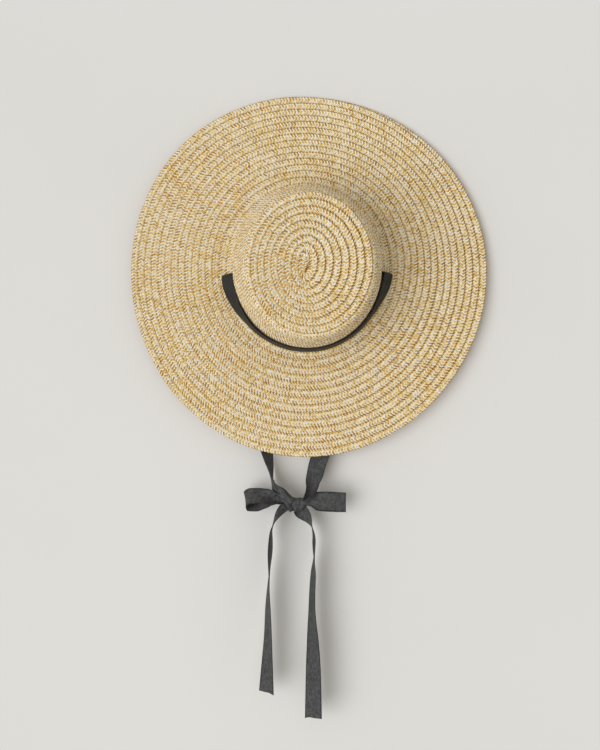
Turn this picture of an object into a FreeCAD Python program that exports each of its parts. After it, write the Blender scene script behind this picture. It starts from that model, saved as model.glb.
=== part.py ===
import FreeCAD, Part
import math
import os

import Sketcher
from FreeCAD import Placement, Rotation, Vector

# A straw sun hat, hung up so that its crown points at the viewer (-Y) and its brim stands upright.
# The origin is the middle of the head opening. +Z is up, +X is to the right, +Y is the side of the head.
# Braid: crown tip, crown side, brim and edge row. Inside the crown's foot: the sweatband.
# Ribbon: a band across the front of the crown (below, as hung), two ties, a bow and two free ends.

DIMENSIONS = {
    "opening_half_width": 87.4,
    "opening_half_height": 91.6,
    "braid_thick": 2.4,
    "crown_depth": 88.0,
    "shoulder_depth": 77.0,
    "shoulder_half_width": 72.0,
    "shoulder_half_height": 80.5,
    "tip_half_width": 70.0,
    "tip_half_height": 78.5,
    "tip_shift_right": 3.0,
    "tip_shift_up": -3.5,
    "shoulder_fillet": 9.0,
    "shoulder_fillet_inside": 6.6,
    "brim_radius": 203.0,
    "brim_shift_right": 1.7,
    "brim_shift_up": -8.3,
    "brim_drop": 13.0,
    "brim_drop_power": 1.25,
    "edge_row_width": 8.0,
    "edge_row_thick": 3.0,
    "slit_gap": 2.2,
    "slit_on_brim": 7.0,
    "slit_on_wall": 17.0,
    "left_slit_up": -10.0,
    "right_slit_up": -5.0,
    "sweatband_width": 26.0,
    "sweatband_thick": 0.8,
    "sweatband_setback": 1.2,
    "sweatband_clearance": 0.1,
    "stitch_radius": 0.25,
    "stitch_inset": 3.0,
    "ribbon_width": 22.0,
    "ribbon_thick": 0.6,
    "ribbon_clearance": 0.5,
    "band_lean": 12.5,
    "band_lean_at_slit": 36.0,
    "knot_width": 27.0,
    "knot_depth": 12.0,
    "knot_height": 16.5,
    "knot_fillet": 4.5,
    "knot_right": -13.0,
    "knot_back": 14.0,
    "knot_up": -267.0,
    "loop_depth": 6.4,
    "loop_back": 11.7,
    "left_loop_length": 43.0,
    "left_loop_up": -263.5,
    "right_loop_length": 45.0,
    "right_loop_up": -265.0,
    "part_gap": 0.35,
}

# The brim's outline is nearly round: (waves round the brim, height in mm, angle of the first crest).
OUTLINE_WAVES = ((2, 1.3, -85.0), (3, 1.8, 14.0))
# The brim's edge rises and falls a little: (waves round the brim, height in mm, angle of the first crest).
EDGE_WAVES = ((2, 1.6, 40.0), (3, 1.1, 100.0), (5, 0.5, 20.0))

# Routes of the free ribbon, point by point: right, back, up.
TIE_LEFT_ROUTE = (
    (-87.5, 5.2, -13.0),
    (-44.0, 26.0, -210.0),
    (-38.5, 22.5, -238.0),
    (-25.0, 16.5, -261.0),
)
TIE_RIGHT_ROUTE = (
    (91.5, 5.2, -8.0),
    (14.7, 22.0, -212.0),
    (8.5, 20.5, -239.0),
    (-1.5, 16.5, -262.0),
)
TAIL_LEFT_ROUTE = (
    (-32.0, 16.2, -281.0),
    (-39.5, 16.2, -300.0),
    (-40.5, 16.4, -332.0),
    (-43.4, 16.2, -372.0),
    (-42.9, 16.3, -425.0),
    (-45.3, 16.2, -484.0),
)
TAIL_RIGHT_ROUTE = (
    (1.0, 16.2, -283.0),
    (9.0, 16.2, -303.0),
    (9.3, 16.4, -336.0),
    (6.2, 16.2, -380.0),
    (8.6, 16.3, -440.0),
    (8.0, 16.2, -513.5),
)

doc = FreeCAD.newDocument("straw_sun_hat")
sheet = doc.addObject("Spreadsheet::Sheet", "dimensions")
for row, (alias, value) in enumerate(DIMENSIONS.items(), start=1):
    sheet.set("A" + str(row), alias)
    sheet.set("B" + str(row), str(value))
    sheet.setAlias("B" + str(row), alias)
doc.recompute()


def size(alias):
    """A driving dimension, read from the sheet, in mm."""
    return float(sheet.get(alias))


def cell(alias):
    """The expression that reads a driving dimension."""
    return "dimensions." + alias


# ---------------------------------------------------------------- ovals of the crown


def oval(name, half_width, half_height, depth, shift="0"):
    """An upright oval at a depth in front of the opening. Every size is an expression.
    shift is the share of the tip's shift that the oval has."""
    ring = doc.addObject("Part::Ellipse", name)
    upright = Rotation(Vector(0, 0, 1), Vector(1, 0, 0), Vector(0, 1, 0), "ZXY")
    ring.Placement = Placement(Vector(0, 0, 0), upright)
    ring.setExpression("MajorRadius", half_height)
    ring.setExpression("MinorRadius", half_width)
    ring.setExpression("Placement.Base.x", cell("tip_shift_right") + " * (" + shift + ")")
    ring.setExpression("Placement.Base.y", "-(" + depth + ")")
    ring.setExpression("Placement.Base.z", cell("tip_shift_up") + " * (" + shift + ")")
    return ring


def loft(name, rings):
    """A closed solid through ovals."""
    body = doc.addObject("Part::Loft", name)
    body.Sections = rings
    body.Solid = True
    body.Ruled = True
    return body


def cut(name, base, tool):
    """base less tool."""
    result = doc.addObject("Part::Cut", name)
    result.Base = base
    result.Tool = tool
    return result


def wall_half(side, depth, inset):
    """The expression of the crown side's half width or half height at a depth, less an inset."""
    foot = "(" + cell("opening_half_" + side) + " + " + cell("braid_thick") + ")"
    top = cell("shoulder_half_" + side)
    slope = "(" + top + " - " + foot + ") / " + cell("shoulder_depth")
    return foot + " + (" + slope + ") * (" + depth + ") - (" + inset + ")"


def wall_oval(name, depth, inset):
    """An oval that lies on the crown side, moved in by an inset."""
    share = "(" + depth + ") / " + cell("shoulder_depth")
    return oval(name, wall_half("width", depth, inset), wall_half("height", depth, inset), depth, share)


def slit_tool(name, side, up):
    """The gap that a slit cuts through the crown's foot and the brim. side is -1 for left and 1 for right."""
    gap = doc.addObject("Part::Box", name)
    gap.setExpression("Length", cell("slit_on_wall") + " + " + cell("slit_on_brim"))
    gap.setExpression("Width", cell("slit_on_wall") + " + " + cell("edge_row_thick") + " * 2")
    gap.setExpression("Height", cell("slit_gap"))
    foot = "(" + cell("opening_half_width") + " + " + cell("braid_thick") + ")"
    inner = foot + " - " + cell("slit_on_wall")
    outer = foot + " + " + cell("slit_on_brim")
    gap.setExpression("Placement.Base.x", inner if side > 0 else "-(" + outer + ")")
    gap.setExpression("Placement.Base.y", "-" + cell("slit_on_wall"))
    gap.setExpression("Placement.Base.z", cell(up) + " - " + cell("slit_gap") + " / 2")
    return gap


slit_tools = [slit_tool("left_slit", -1, "left_slit_up"), slit_tool("right_slit", 1, "right_slit_up")]

thick = cell("braid_thick")
wall_outer = loft(
    "wall_outer",
    [wall_oval("wall_foot", "0", "0"), wall_oval("wall_top", cell("shoulder_depth"), "0")],
)
wall_inner = loft(
    "wall_inner",
    [
        wall_oval("wall_foot_inside", "-1", thick),
        wall_oval("wall_top_inside", cell("shoulder_depth") + " + 1", thick),
    ],
)
wall_shell = cut("wall_shell", wall_outer, wall_inner)
wall_half_slit = cut("wall_left_slit", wall_shell, slit_tools[0])
crown_wall = cut("crown_wall", wall_half_slit, slit_tools[1])

tip_blank = loft(
    "tip_blank",
    [
        wall_oval("tip_foot", cell("shoulder_depth"), "0"),
        oval("tip_top", cell("tip_half_width"), cell("tip_half_height"), cell("crown_depth"), "1"),
    ],
)
tip_hollow = loft(
    "tip_hollow",
    [
        wall_oval("tip_foot_inside", cell("shoulder_depth"), thick),
        oval(
            "tip_top_inside",
            cell("tip_half_width") + " - " + thick,
            cell("tip_half_height") + " - " + thick,
            cell("crown_depth") + " - " + thick,
            "1",
        ),
    ],
)
doc.recompute()


def front_edge(shape):
    """The number of the edge that is furthest in front."""
    depths = [edge.BoundBox.YMax for edge in shape.Edges]
    return depths.index(min(depths)) + 1


def round_front(name, base, radius):
    """Rounds the front edge of a loft."""
    rounded = doc.addObject("Part::Fillet", name)
    rounded.Base = base
    rounded.Edges = [(front_edge(base.Shape), size(radius), size(radius))]
    return rounded


crown_tip = cut(
    "crown_tip",
    round_front("tip_rounded", tip_blank, "shoulder_fillet"),
    round_front("tip_hollow_rounded", tip_hollow, "shoulder_fillet_inside"),
)

# ---------------------------------------------------------------- sweatband


def lining(name, start, end, outer_inset, inner_inset):
    """A band that lines the crown side between two depths."""
    outside = loft(
        name + "_outside",
        [
            wall_oval(name + "_oa", start, outer_inset),
            wall_oval(name + "_ob", end, outer_inset),
        ],
    )
    inside = loft(
        name + "_inside",
        [
            wall_oval(name + "_ia", "(" + start + ") - 1", inner_inset),
            wall_oval(name + "_ib", "(" + end + ") + 1", inner_inset),
        ],
    )
    return cut(name, outside, inside)


band_back = cell("sweatband_setback")
band_front = cell("sweatband_setback") + " + " + cell("sweatband_width")
band_outer = thick + " + " + cell("sweatband_clearance")
band_inner = band_outer + " + " + cell("sweatband_thick")
sweatband = lining("sweatband", band_back, band_front, band_outer, band_inner)


def stitch_ring():
    """The thread that holds the sweatband: a ring on the band's inner face, near its back edge."""
    depth = size("sweatband_setback") + size("stitch_inset")
    share = depth / size("shoulder_depth")
    inset = size("braid_thick") + size("sweatband_clearance") + size("sweatband_thick")
    inset += size("stitch_radius")
    halves = []
    for side in ("width", "height"):
        foot = size("opening_half_" + side) + size("braid_thick")
        halves.append(foot + (size("shoulder_half_" + side) - foot) * share - inset)
    centre = Vector(size("tip_shift_right") * share, -depth, size("tip_shift_up") * share)
    half_width, half_height = halves
    ring = Part.Ellipse(
        centre + Vector(0, 0, half_height),
        centre + Vector(half_width, 0, 0),
        centre,
    ).toShape()
    start = ring.valueAt(ring.FirstParameter)
    along = ring.tangentAt(ring.FirstParameter)
    section = Part.Wire(Part.makeCircle(size("stitch_radius"), start, along))
    return Part.Wire(ring).makePipeShell([section], True, False)


# ---------------------------------------------------------------- brim


def waves(table, angle):
    """The sum of a table's waves at an angle round the brim, in mm."""
    return sum(height * math.cos(count * (angle - math.radians(crest))) for count, height, crest in table)


def brim_point(share, angle, back=0.0):
    """A point of the brim's front face, moved backwards by back.
    share 0 is the crown's foot and share 1 is the outline."""
    inner = Vector(
        size("opening_half_width") * math.cos(angle),
        0,
        size("opening_half_height") * math.sin(angle),
    )
    reach = size("brim_radius") + waves(OUTLINE_WAVES, angle)
    outer = Vector(
        size("brim_shift_right") + reach * math.cos(angle),
        0,
        size("brim_shift_up") + reach * math.sin(angle),
    )
    point = inner * (1 - share) + outer * share
    fall = size("brim_drop") * share ** size("brim_drop_power")
    return Vector(point.x, fall + waves(EDGE_WAVES, angle) * share**2 + back, point.z)


POINTS_ROUND = 48
brim_reach = size("brim_radius") - size("opening_half_width")
edge_share = 1 - size("edge_row_width") / brim_reach


def brim_line(share, back):
    """A closed smooth line round the brim."""
    angles = [2 * math.pi * index / POINTS_ROUND for index in range(POINTS_ROUND)]
    curve = Part.BSplineCurve()
    curve.interpolate(Points=[brim_point(share, angle, back) for angle in angles], PeriodicFlag=True)
    return Part.Wire(curve.toShape())


def brim_ring(first, last, thickness):
    """A ring of the brim between two shares of its width."""
    steps = 4 if last - first > 0.2 else 1
    shares = [first + (last - first) * step / steps for step in range(steps + 1)]
    front = [brim_line(share, 0.0) for share in shares]
    rear = [brim_line(share, thickness) for share in shares]
    ruled = steps == 1
    skins = [
        Part.makeLoft(front, False, ruled),
        Part.makeLoft(rear, False, ruled),
        Part.makeLoft([front[0], rear[0]], False, True),
        Part.makeLoft([front[-1], rear[-1]], False, True),
    ]
    shell = Part.makeShell([face for skin in skins for face in skin.Faces])
    shell.sewShape()
    return Part.makeSolid(Part.Shell(shell.Faces))


# ---------------------------------------------------------------- ribbon band

BAND_SECTIONS = 33
BAND_TWIST_SHARE = 0.42  # the share of the band's half length over which it turns towards its slit
BAND_END_GAP = 0.012  # the band stops this share of its angle before each slit


def wall_point(angle, depth, out):
    """A point on the crown side's outer face at an angle and a depth, moved outwards."""
    share = depth / size("shoulder_depth")
    halves = []
    for side in ("width", "height"):
        foot = size("opening_half_" + side) + size("braid_thick")
        halves.append(foot + (size("shoulder_half_" + side) - foot) * share + out)
    return Vector(
        size("tip_shift_right") * share + halves[0] * math.cos(angle),
        -depth,
        size("tip_shift_up") * share + halves[1] * math.sin(angle),
    )


def slit_angle(side, up):
    """The angle round the crown's foot at which a slit lies."""
    foot = size("opening_half_height") + size("braid_thick")
    rise = math.asin(size(up) / foot)
    return rise if side > 0 else math.pi - rise


def band_section(angle, lean):
    """The ribbon's cross-section at an angle round the crown. lean is its angle from the crown's axis.
    It stands just off the brim, and just off the crown side at whichever edge is nearer."""
    gap = size("ribbon_clearance")
    outward = Vector(math.cos(angle), 0, math.sin(angle))
    reach = size("ribbon_width") * math.sin(lean)
    rise = size("ribbon_width") * math.cos(lean)
    low = wall_point(angle, gap, gap)
    high = wall_point(angle, gap + rise, gap)
    wall_reach = (low - high).dot(outward)
    foot = low + outward * max(0.0, reach - wall_reach)
    top = foot - outward * reach - Vector(0, rise, 0)
    face = Vector(outward.x * math.cos(lean), -math.sin(lean), outward.z * math.cos(lean))
    offset = face * size("ribbon_thick")
    return Part.makePolygon([foot, top, top + offset, foot + offset, foot])


def ribbon_band():
    """The ribbon across the front of the crown. It lies on the crown side and leans out near its slits."""
    left = slit_angle(-1, "left_slit_up")
    right = slit_angle(1, "right_slit_up") + 2 * math.pi
    sections = []
    for index in range(BAND_SECTIONS):
        place = index / (BAND_SECTIONS - 1)
        from_slit = min(place, 1 - place) * 2
        near_slit = max(0.0, 1 - from_slit / BAND_TWIST_SHARE)
        lean = size("band_lean") + (size("band_lean_at_slit") - size("band_lean")) * near_slit**1.6
        angle = left + (right - left) * (BAND_END_GAP + (1 - 2 * BAND_END_GAP) * place)
        sections.append(band_section(angle, math.radians(lean)))
    return Part.makeLoft(sections, True, False)


# ---------------------------------------------------------------- free ribbon


def rounded_route(route, name):
    """Straight runs joined by arcs as large as the runs allow. Prints each arc's radius."""
    points = [Vector(*point) for point in route]
    edges = []
    radii = []
    start = points[0]
    for before, corner, after in zip(points, points[1:], points[2:]):
        arriving = (corner - before).normalize()
        leaving = (after - corner).normalize()
        turn = arriving.getAngle(leaving)
        tangent = 0.45 * min((corner - before).Length, (after - corner).Length)
        radius = tangent / math.tan(turn / 2)
        enter = corner - arriving * tangent
        leave = corner + leaving * tangent
        inward = (leaving - arriving).normalize()
        centre = corner + inward * (radius / math.cos(turn / 2))
        middle = centre - inward * radius
        edges.append(Part.LineSegment(start, enter).toShape())
        edges.append(Part.Arc(enter, middle, leave).toShape())
        radii.append(round(radius))
        start = leave
    edges.append(Part.LineSegment(start, points[-1]).toShape())
    print(name, "radii", radii, "length", round(sum(edge.Length for edge in edges), 1))
    return Part.Wire(edges)


def flat_ribbon(route, name):
    """A flat ribbon along a route, its face towards the viewer."""
    path = rounded_route(route, name)
    start = Vector(*route[0])
    along = (Vector(*route[1]) - start).normalize()
    across = along.cross(Vector(0, 1, 0)).normalize() * (size("ribbon_width") / 2)
    face = across.cross(along).normalize() * (size("ribbon_thick") / 2)
    corners = [
        start + across + face,
        start - across + face,
        start - across - face,
        start + across - face,
    ]
    section = Part.makePolygon(corners + [corners[0]])
    sweep = Part.BRepOffsetAPI.MakePipeShell(path)
    sweep.setBiNormalMode(Vector(0, 1, 0))
    sweep.add(section, False, False)
    sweep.build()
    sweep.makeSolid()
    solid = sweep.shape()
    expected = path.Length * size("ribbon_width") * size("ribbon_thick")
    if abs(abs(solid.Volume) - expected) > 0.05 * expected:
        raise RuntimeError(name + " has the wrong volume")
    return solid


def plain(label, shape):
    """A sub-part whose shape is made by Part's functions."""
    feature = doc.addObject("Part::Feature", label)
    feature.Shape = shape
    feature.Placement = Placement()
    return feature


def origin_plane(body, role):
    """One of a body's own origin planes."""
    return next(item for item in body.Origin.OriginFeatures if item.Role == role)


def new_sketch(body, name, role):
    """A sketch on one of the body's own origin planes."""
    sketch = body.newObject("Sketcher::SketchObject", name)
    sketch.AttachmentSupport = [(origin_plane(body, role), "")]
    sketch.MapMode = "FlatFace"
    return sketch


def add_rectangle(sketch, half_length, half_width):
    """A rectangle about the sketch's origin, with its sides bound to two expressions."""
    corners = [Vector(-1, -1, 0), Vector(1, -1, 0), Vector(1, 1, 0), Vector(-1, 1, 0)]
    for first, second in zip(corners, corners[1:] + corners[:1]):
        sketch.addGeometry(Part.LineSegment(first * 5, second * 5), False)
    for index in range(4):
        sketch.addConstraint(Sketcher.Constraint("Coincident", index, 2, (index + 1) % 4, 1))
    sketch.addConstraint(Sketcher.Constraint("Horizontal", 0))
    sketch.addConstraint(Sketcher.Constraint("Horizontal", 2))
    sketch.addConstraint(Sketcher.Constraint("Vertical", 1))
    sketch.addConstraint(Sketcher.Constraint("Vertical", 3))
    sketch.addConstraint(Sketcher.Constraint("Symmetric", 0, 1, 1, 2, -1, 1))
    length = sketch.addConstraint(Sketcher.Constraint("DistanceX", 0, 1, 0, 2, 10))
    width = sketch.addConstraint(Sketcher.Constraint("DistanceY", 1, 1, 1, 2, 10))
    sketch.setExpression("Constraints[" + str(length) + "]", "2 * (" + half_length + ")")
    sketch.setExpression("Constraints[" + str(width) + "]", "2 * (" + half_width + ")")


def pad(body, sketch, name, height):
    """A pad that stands equally on both sides of its sketch."""
    feature = body.newObject("PartDesign::Pad", name)
    feature.Profile = sketch
    feature.setExpression("Length", height)
    feature.SideType = "Symmetric"
    return feature


def bow_knot():
    """The knot of the bow, a rounded block of wrapped ribbon."""
    body = doc.addObject("PartDesign::Body", "bow_knot")
    sketch = new_sketch(body, "knot_sketch", "XZ_Plane")
    add_rectangle(sketch, cell("knot_width") + " / 2", cell("knot_height") + " / 2")
    block = pad(body, sketch, "knot_block", cell("knot_depth"))
    doc.recompute()
    rounded = body.newObject("PartDesign::Fillet", "knot_rounding")
    rounded.Base = (block, ["Edge" + str(index + 1) for index in range(len(block.Shape.Edges))])
    rounded.setExpression("Radius", cell("knot_fillet"))
    body.Tip = rounded
    body.setExpression("Placement.Base.x", cell("knot_right"))
    body.setExpression("Placement.Base.y", cell("knot_back"))
    body.setExpression("Placement.Base.z", cell("knot_up"))
    return body


def add_slot(sketch, length, radius):
    """A round-ended slot from the sketch's origin along +X. length is between its arc centres."""
    reach, round_end = 20.0, 3.0
    sketch.addGeometry(Part.LineSegment(Vector(0, round_end, 0), Vector(reach, round_end, 0)), False)
    sketch.addGeometry(Part.LineSegment(Vector(reach, -round_end, 0), Vector(0, -round_end, 0)), False)
    first = sketch.GeometryCount - 2
    quarter = math.pi / 2
    near = Part.ArcOfCircle(Part.Circle(Vector(0, 0, 0), Vector(0, 0, 1), round_end), quarter, 3 * quarter)
    far = Part.ArcOfCircle(Part.Circle(Vector(reach, 0, 0), Vector(0, 0, 1), round_end), -quarter, quarter)
    sketch.addGeometry(near, False)
    sketch.addGeometry(far, False)
    top, bottom, left, right = first, first + 1, first + 2, first + 3
    sketch.addConstraint(Sketcher.Constraint("Tangent", top, 1, left, 1))
    sketch.addConstraint(Sketcher.Constraint("Tangent", bottom, 2, left, 2))
    sketch.addConstraint(Sketcher.Constraint("Tangent", top, 2, right, 2))
    sketch.addConstraint(Sketcher.Constraint("Tangent", bottom, 1, right, 1))
    sketch.addConstraint(Sketcher.Constraint("Coincident", left, 3, -1, 1))
    sketch.addConstraint(Sketcher.Constraint("Horizontal", top))
    sketch.addConstraint(Sketcher.Constraint("Equal", left, right))
    run = sketch.addConstraint(Sketcher.Constraint("DistanceX", left, 3, right, 3, reach))
    curve = sketch.addConstraint(Sketcher.Constraint("Radius", left, round_end))
    sketch.setExpression("Constraints[" + str(run) + "]", length)
    sketch.setExpression("Constraints[" + str(curve) + "]", radius)


def bow_loop(label, side, length, up):
    """A loop of the bow: the ribbon goes out, turns and comes back. Its near end curves round its pivot."""
    body = doc.addObject("PartDesign::Body", label)
    end_radius = cell("loop_depth") + " / 2"
    run = cell(length) + " - 2 * " + end_radius
    outer = new_sketch(body, label + "_outer_sketch", "XY_Plane")
    add_slot(outer, run, end_radius)
    block = pad(body, outer, label + "_outer", cell("ribbon_width"))
    inner = new_sketch(body, label + "_inner_sketch", "XY_Plane")
    add_slot(inner, run, end_radius + " - " + cell("ribbon_thick"))
    hollow = body.newObject("PartDesign::Pocket", label + "_hollow")
    hollow.Profile = inner
    hollow.setExpression("Length", cell("ribbon_width") + " + 2")
    hollow.SideType = "Symmetric"
    doc.recompute()
    if not hollow.Shape.Volume < 0.5 * block.Shape.Volume:
        raise RuntimeError(label + " is not hollow")
    body.Placement = Placement(Vector(0, 0, 0), Rotation(Vector(0, 0, 1), 0 if side > 0 else 180))
    edge = cell("knot_width") + " / 2 + " + cell("part_gap") + " + " + end_radius
    sign = " + " if side > 0 else " - "
    body.setExpression("Placement.Base.x", cell("knot_right") + sign + "(" + edge + ")")
    body.setExpression("Placement.Base.y", cell("loop_back"))
    body.setExpression("Placement.Base.z", cell(up))
    return body


brim_blank = plain("brim_blank", brim_ring(0.0, edge_share, size("braid_thick")))
brim_half_slit = cut("brim_left_slit", brim_blank, slit_tools[0])
brim = cut("brim", brim_half_slit, slit_tools[1])

nodes = [
    crown_tip,
    crown_wall,
    brim,
    plain("brim_edge", brim_ring(edge_share, 1.0, size("edge_row_thick"))),
    sweatband,
    plain("sweatband_stitching", stitch_ring()),
    plain("ribbon_band", ribbon_band()),
    plain("tie_left", flat_ribbon(TIE_LEFT_ROUTE, "tie_left")),
    plain("tie_right", flat_ribbon(TIE_RIGHT_ROUTE, "tie_right")),
    bow_knot(),
    bow_loop("bow_loop_left", -1, "left_loop_length", "left_loop_up"),
    bow_loop("bow_loop_right", 1, "right_loop_length", "right_loop_up"),
    plain("tail_left", flat_ribbon(TAIL_LEFT_ROUTE, "tail_left")),
    plain("tail_right", flat_ribbon(TAIL_RIGHT_ROUTE, "tail_right")),
]
doc.recompute()

for item in doc.Objects:
    if "Invalid" in item.State or "Error" in item.State:
        raise RuntimeError(item.Label + " failed: " + str(item.State))
os.makedirs("parts", exist_ok=True)
for node in nodes:
    shape = node.Shape
    if shape.isNull() or not shape.isValid():
        raise RuntimeError(node.Label + " has no valid shape")
    box = shape.optimalBoundingBox()
    print(
        node.Label,
        "solids", len(shape.Solids),
        "volume", round(shape.Volume),
        "x", round(box.XMin, 1), round(box.XMax, 1),
        "y", round(box.YMin, 1), round(box.YMax, 1),
        "z", round(box.ZMin, 1), round(box.ZMax, 1),
    )
    shape.exportStep("parts/" + node.Label + ".step")
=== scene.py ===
import math

import bpy
import numpy as np
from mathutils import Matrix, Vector


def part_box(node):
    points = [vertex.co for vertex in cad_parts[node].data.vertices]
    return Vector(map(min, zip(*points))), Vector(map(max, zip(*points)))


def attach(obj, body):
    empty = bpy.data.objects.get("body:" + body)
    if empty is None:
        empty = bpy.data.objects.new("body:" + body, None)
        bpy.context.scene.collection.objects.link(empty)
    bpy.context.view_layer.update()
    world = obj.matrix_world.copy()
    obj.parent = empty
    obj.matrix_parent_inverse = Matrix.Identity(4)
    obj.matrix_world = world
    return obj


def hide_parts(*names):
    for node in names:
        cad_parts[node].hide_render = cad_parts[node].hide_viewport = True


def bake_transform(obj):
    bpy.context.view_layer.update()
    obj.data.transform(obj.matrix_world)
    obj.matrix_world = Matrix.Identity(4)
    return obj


# The looks of a straw sun hat that hangs with its crown towards the viewer (-Y).
# Everything is worked out in millimetres in the part's frame, and becomes metres when a mesh is made.

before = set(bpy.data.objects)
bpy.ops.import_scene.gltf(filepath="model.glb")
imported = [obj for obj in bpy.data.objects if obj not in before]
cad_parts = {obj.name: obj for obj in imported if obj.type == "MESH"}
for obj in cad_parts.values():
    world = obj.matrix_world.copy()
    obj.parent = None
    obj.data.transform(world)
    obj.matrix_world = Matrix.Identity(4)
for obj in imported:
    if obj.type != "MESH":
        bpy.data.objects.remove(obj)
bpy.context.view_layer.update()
rng = np.random.default_rng(11)
MM = 0.001
TURN = 2 * math.pi


def node_box(name):
    """The lowest and highest corners of a CAD node, in mm."""
    low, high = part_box(name)
    return np.array(low) / MM, np.array(high) / MM


def unit(vectors):
    """Vectors of length 1."""
    length = np.linalg.norm(vectors, axis=-1, keepdims=True)
    return vectors / np.maximum(length, 1e-9)


def smooth(x):
    """0 below 0, 1 above 1, and a smooth step between."""
    x = np.clip(x, 0.0, 1.0)
    return x * x * (3 - 2 * x)


def lengths_along(points):
    """How far along a line each of its points is."""
    steps = np.linalg.norm(np.diff(points, axis=0), axis=1)
    return np.concatenate(((0.0,), np.cumsum(steps)))


def turned(one, other, angle):
    """Two directions, turned in their plane, one towards the other."""
    c, s = np.cos(angle)[:, None], np.sin(angle)[:, None]
    return one * c + other * s, other * c - one * s


def square_to(side, tangent):
    """Width directions, made square to the line."""
    return unit(side - tangent * (side * tangent).sum(-1, keepdims=True))


# ---------------------------------------------------------------- camera

VIEW_DISTANCE = 1500.0
VIEW_HEIGHT = 847.5  # how much of the brim's plane the picture shows from top to bottom
VIEW_CENTRE = (-7.3, -120.3)
BRIM_PLANE = 10.0
SENSOR = 36.0


def add_camera():
    """The viewer stands square to the brim."""
    data = bpy.data.cameras.new("camera")
    data.sensor_width = SENSOR
    data.lens = SENSOR * VIEW_DISTANCE / VIEW_HEIGHT
    data.clip_end = 100.0
    camera = bpy.data.objects.new("camera", data)
    camera.location = np.array((VIEW_CENTRE[0], BRIM_PLANE - VIEW_DISTANCE, VIEW_CENTRE[1])) * MM
    camera.rotation_euler = (math.pi / 2, 0, 0)
    bpy.context.scene.collection.objects.link(camera)
    bpy.context.scene.camera = camera


# ---------------------------------------------------------------- the hat's surface

WALL_LOW, WALL_HIGH = node_box("crown_wall")
TIP_LOW, TIP_HIGH = node_box("crown_tip")
FOOT = (WALL_HIGH - WALL_LOW)[[0, 2]] / 2
TIP_INSET = 2.0  # the corner of the tip and the side lies this far inside the solid's edge
TIP_HALF = (TIP_HIGH - TIP_LOW)[[0, 2]] / 2 - TIP_INSET
TIP_CENTRE = ((TIP_HIGH + TIP_LOW) / 2)[[0, 2]]
CROWN_DEPTH = -TIP_LOW[1]
SURFACE_INSET = 1.2  # the middle of the braid lies this far under the solid's outer face
WAIST = (3.5, 1.0)  # the crown's side curves in by this much, in width and height
WAIST_DEPTH = 20.0

BRIM_RADIUS = 203.0
BRIM_CENTRE = (1.7, -8.3)
BRIM_DROP = 13.0
BRIM_DROP_POWER = 1.25
OUTLINE_WAVES = ((2, 1.3, -85.0), (3, 1.8, 14.0))  # waves round the brim, height, angle of the first crest
EDGE_WAVES = ((2, 1.6, 40.0), (3, 1.1, 100.0), (5, 0.5, 20.0))

COIL_HALF = 8.5  # the spiral starts round an upright piece of braid of this half length
COIL_SHIFT = (-5.0, 0.5)  # the spiral starts a little off the tip's middle
TIP_DOME = 1.2  # the tip's middle stands this much in front of its edge
SHOULDER_ROUND = 9.0
FOOT_ROUND = 6.0
CORNER_LENGTH = 1.62  # the way round a corner, as a multiple of how far it starts from its point
ROW = 7.85  # one row of braid covers this much

# How many rows lie on each stretch from the middle of the tip to the brim's edge.
TIP_ROWS = (TIP_HALF[0] - SHOULDER_ROUND) / ROW
SHOULDER_ROWS = CORNER_LENGTH * SHOULDER_ROUND / ROW
SIDE_LENGTH = math.hypot(CROWN_DEPTH, FOOT[0] - TIP_HALF[0])
SIDE_ROWS = (SIDE_LENGTH - SHOULDER_ROUND - FOOT_ROUND) / ROW
FOOT_ROWS = CORNER_LENGTH * FOOT_ROUND / ROW
BRIM_ROWS = (BRIM_RADIUS - FOOT.mean() - FOOT_ROUND) / ROW
STARTS = np.cumsum((0.0, TIP_ROWS, SHOULDER_ROWS, SIDE_ROWS, FOOT_ROWS, BRIM_ROWS))
ALL_ROWS = STARTS[-1]

ROW_STEP = 0.02  # rows and radians between the points that give the surface's direction
ANGLE_STEP = 0.002
LEAST_PITCH = 2.0


def waves(table, angle):
    """The sum of a table's waves at angles round the brim."""
    return sum(height * np.cos(count * (angle - math.radians(crest_shade))) for count, height, crest_shade in table)


def brim_surface(share, angle):
    """Points of the brim: share 0 is the crown's foot and 1 is the outline."""
    reach = BRIM_RADIUS + waves(OUTLINE_WAVES, angle)
    x = (1 - share) * FOOT[0] * np.cos(angle) + share * (BRIM_CENTRE[0] + reach * np.cos(angle))
    z = (1 - share) * FOOT[1] * np.sin(angle) + share * (BRIM_CENTRE[1] + reach * np.sin(angle))
    y = BRIM_DROP * np.maximum(share, 0) ** BRIM_DROP_POWER + waves(EDGE_WAVES, angle) * share**2
    return np.stack((x, y, z), -1)


def side_surface(depth, angle):
    """Points of the crown's side at a depth in front of the head opening."""
    share = depth / CROWN_DEPTH
    waist = depth / WAIST_DEPTH * np.exp(1 - depth / WAIST_DEPTH) * (1 - share)
    half = [FOOT[i] + (TIP_HALF[i] - FOOT[i]) * share - WAIST[i] * waist for i in (0, 1)]
    x = TIP_CENTRE[0] * share + half[0] * np.cos(angle)
    z = TIP_CENTRE[1] * share + half[1] * np.sin(angle)
    return np.stack((x, -depth, z), -1)


def tip_surface(share, angle):
    """Points of the crown's tip: share 0 is the upright start of the spiral and 1 is the tip's edge."""
    centre = [TIP_CENTRE[i] + COIL_SHIFT[i] * (1 - share) for i in (0, 1)]
    x = centre[0] + share * TIP_HALF[0] * np.cos(angle)
    z = centre[1] + (COIL_HALF + share * (TIP_HALF[1] - COIL_HALF)) * np.sin(angle)
    return np.stack((x, -CROWN_DEPTH - TIP_DOME * (1 - share**2), z), -1)


def bend(before, corner, after, t):
    """A smooth corner between two stretches."""
    t = t[..., None]
    return (1 - t) ** 2 * before + 2 * t * (1 - t) * corner + t**2 * after


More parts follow.
